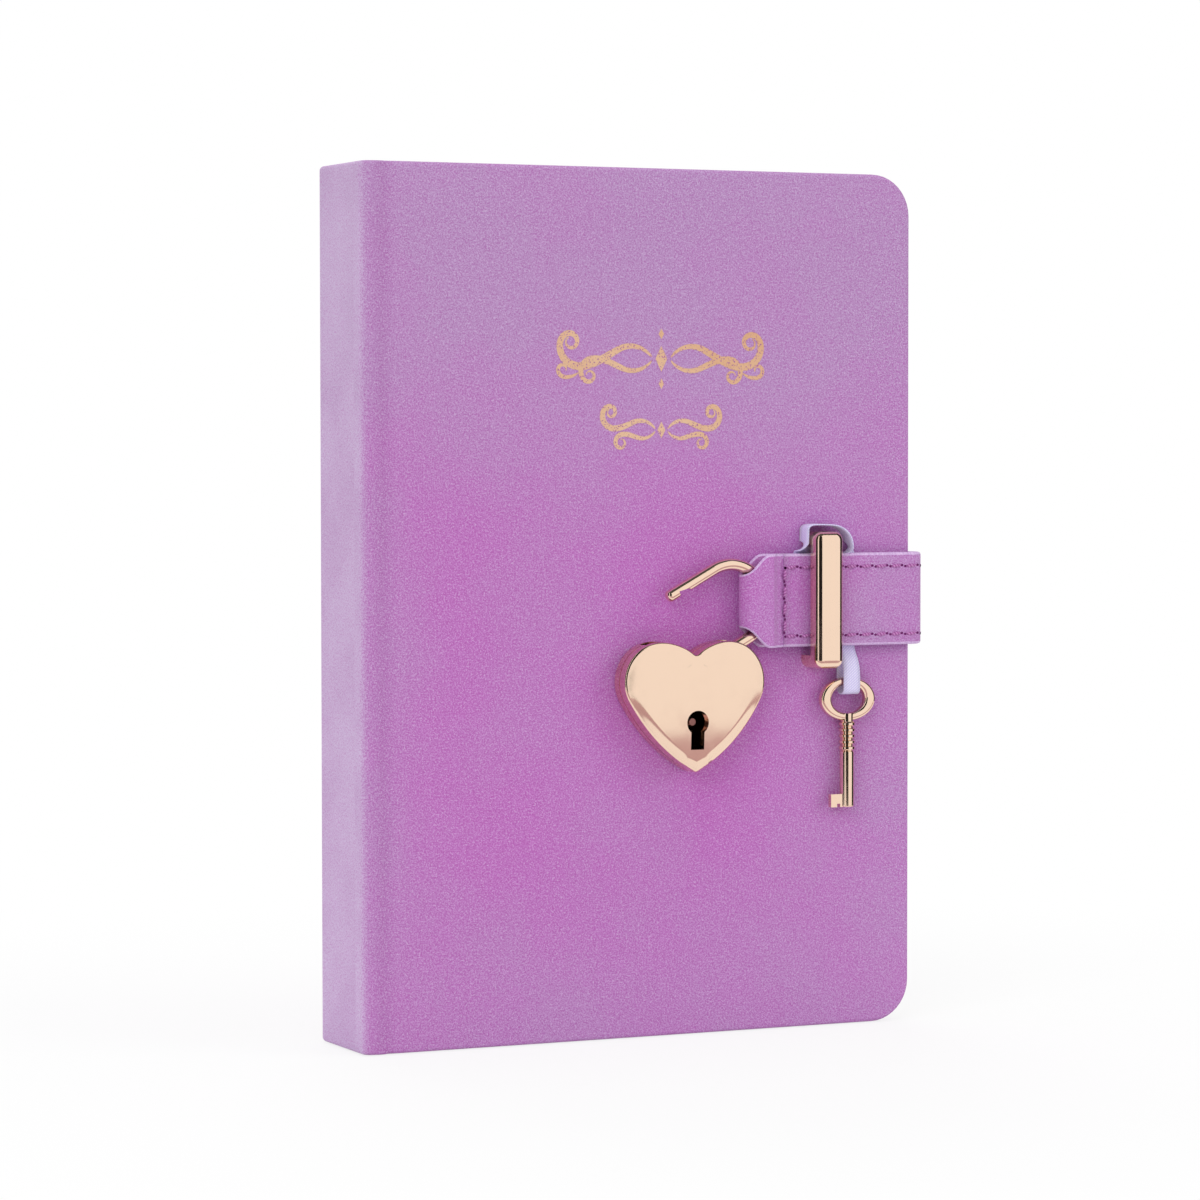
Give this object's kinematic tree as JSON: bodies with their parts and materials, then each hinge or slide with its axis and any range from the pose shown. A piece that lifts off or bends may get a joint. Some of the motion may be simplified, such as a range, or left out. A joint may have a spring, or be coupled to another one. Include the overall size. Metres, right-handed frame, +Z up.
{
  "type": "diary with lock",
  "caption": "Hardback diary closed by a strap through a staple keeper, with a heart padlock hung open in the strap's loop and a small key on a ribbon; cover opens, lock and key swing",
  "frame": {"origin": "middle of the bounding box, at the level of the lower edges that the book stands on", "axes": "+X from the spine to the fore-edge, +Y from the front cover to the back cover, +Z up"},
  "size_m": [0.1392, 0.0368, 0.196],
  "materials": {
    "cover_skin": "suede-like nap",
    "board": "raw grey board",
    "endpaper": "smooth, uncoated",
    "paper": "uncoated",
    "lining": "open cotton weave",
    "band": "sewn band",
    "strap": "suede-like nap, raw edges",
    "rose_gold": "polished rose-gold plate",
    "lock_steel": "plain steel",
    "ribbon": "satin weave"
  },
  "bodies": {
    "book": {"back_board": "board", "back_cover_skin": "cover_skin", "back_pastedown": "endpaper", "back_flyleaf": "endpaper", "spine_board": "board", "spine_skin": "cover_skin", "spine_lining": "lining", "headband": "band", "tailband": "band", "strap_tail": "strap", "section_01": "paper", "section_02": "paper", "section_03": "paper", "section_04": "paper", "section_05": "paper", "section_06": "paper", "section_07": "paper", "section_08": "paper", "section_09": "paper", "section_10": "paper", "section_11": "paper", "section_12": "paper"},
    "front_cover": {"front_board": "board", "front_cover_skin": "cover_skin", "front_pastedown": "endpaper", "keeper": "rose_gold", "keeper_washers": "lock_steel", "ribbon": "ribbon"},
    "flyleaf": {"front_flyleaf": "endpaper"},
    "strap": {"strap_tongue": "strap"},
    "shackle": {"shackle": "rose_gold"},
    "lock_body": {"lock_front_shell": "rose_gold", "lock_back_shell": "rose_gold", "shackle_pin": "lock_steel", "latch_pin": "lock_steel", "key_post": "lock_steel", "shell_posts": "lock_steel", "shackle_spring": "lock_steel", "latch_spring": "lock_steel"},
    "latch": {"latch": "lock_steel"},
    "key": {"key": "rose_gold"},
    "leaf_1": {"leaf_1": "paper"},
    "leaf_2": {"leaf_2": "paper"}
  },
  "joints": [
    {"name": "front_cover_hinge", "type": "hinge", "parent": "book", "child": "front_cover", "pos_m": [-0.06457, -0.01115, 0.098], "axis": [0, 0, -1], "range_deg": [0, 165]},
    {"name": "flyleaf_turn", "type": "hinge", "parent": "book", "child": "flyleaf", "pos_m": [-0.06457, -0.01115, 0.098], "axis": [0, 0, -1], "range_deg": [0, 155.1]},
    {"name": "leaf_1_turn", "type": "hinge", "parent": "book", "child": "leaf_1", "pos_m": [-0.06457, -0.01115, 0.098], "axis": [0, 0, -1], "range_deg": [0, 145.2]},
    {"name": "leaf_2_turn", "type": "hinge", "parent": "book", "child": "leaf_2", "pos_m": [-0.06457, -0.01115, 0.098], "axis": [0, 0, -1], "range_deg": [0, 135.3]},
    {"name": "strap_release", "type": "hinge", "parent": "book", "child": "strap", "pos_m": [0.06957, 0.01845, 0.09835], "axis": [0, 0, 1], "range_deg": [0, 100], "deforming": ["strap_tongue"]},
    {"name": "lock_swing", "type": "hinge", "parent": "strap", "child": "shackle", "pos_m": [0.02652, -0.01425, 0.09776], "axis": [0, 0, 1], "range_deg": [0, 45]},
    {"name": "shackle_hinge", "type": "hinge", "parent": "shackle", "child": "lock_body", "pos_m": [0.01748, -0.01425, 0.0869], "axis": [0, 1, 0], "range_deg": [0, 62]},
    {"name": "latch_hinge", "type": "hinge", "parent": "lock_body", "child": "latch", "pos_m": [0.00288, -0.01425, 0.0766], "axis": [0, 1, 0], "range_deg": [0, 8]},
    {"name": "key_swing", "type": "hinge", "parent": "front_cover", "child": "key", "pos_m": [0.04922, -0.01325, 0.0877], "axis": [0, 1, 0], "range_deg": [-40, 20], "deforming": ["ribbon"]}
  ],
  "couplings": [
    {"joint": "flyleaf_turn", "follows": "front_cover_hinge", "ratio": 0.94},
    {"joint": "leaf_1_turn", "follows": "front_cover_hinge", "ratio": 0.88},
    {"joint": "leaf_2_turn", "follows": "front_cover_hinge", "ratio": 0.82}
  ]
}
